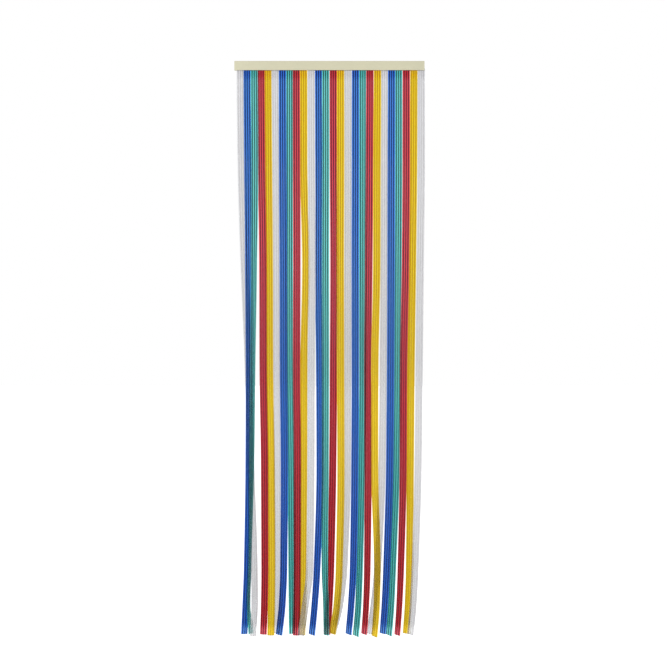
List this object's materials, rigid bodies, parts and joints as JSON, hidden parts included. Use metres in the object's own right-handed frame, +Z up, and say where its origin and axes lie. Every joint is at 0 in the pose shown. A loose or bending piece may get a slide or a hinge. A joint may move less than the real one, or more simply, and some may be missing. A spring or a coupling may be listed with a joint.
{
  "type": "plastic strip curtain with its headrail",
  "caption": "Door curtain of ribbed, translucent coloured plastic ribbons that hang side by side from a plain cream headrail.",
  "frame": {"origin": "middle of the headrail's flat back face, which goes against the wall or door frame", "axes": "+Z up, +X to the right along the headrail, -Y out of the curtain's front"},
  "size_m": [0.702, 0.0546, 2.1235],
  "materials": {
    "headrail": "cream extruded plastic with a satin skin",
    "ribbon_clear": "translucent greyish white soft PVC, ribbed along its length",
    "ribbon_blue": "translucent blue soft PVC, ribbed along its length",
    "ribbon_green": "translucent sea green soft PVC, ribbed along its length",
    "ribbon_red": "translucent red soft PVC, ribbed along its length",
    "ribbon_yellow": "translucent yellow soft PVC, ribbed along its length"
  },
  "bodies": {
    "root": {"headrail": "headrail", "strip_01_clear": "ribbon_clear", "strip_02_blue": "ribbon_blue", "strip_03_green": "ribbon_green", "strip_04_red": "ribbon_red", "strip_05_yellow": "ribbon_yellow", "strip_06_clear": "ribbon_clear", "strip_07_blue": "ribbon_blue", "strip_08_green": "ribbon_green", "strip_09_red": "ribbon_red", "strip_10_yellow": "ribbon_yellow", "strip_11_clear": "ribbon_clear", "strip_12_blue": "ribbon_blue", "strip_13_green": "ribbon_green", "strip_14_red": "ribbon_red", "strip_15_yellow": "ribbon_yellow", "strip_16_clear": "ribbon_clear", "strip_17_blue": "ribbon_blue", "strip_18_green": "ribbon_green", "strip_19_red": "ribbon_red", "strip_20_yellow": "ribbon_yellow", "strip_21_clear": "ribbon_clear", "strip_22_blue": "ribbon_blue", "strip_23_green": "ribbon_green", "strip_24_red": "ribbon_red", "strip_25_yellow": "ribbon_yellow", "strip_26_clear": "ribbon_clear"}
  },
  "joints": []
}
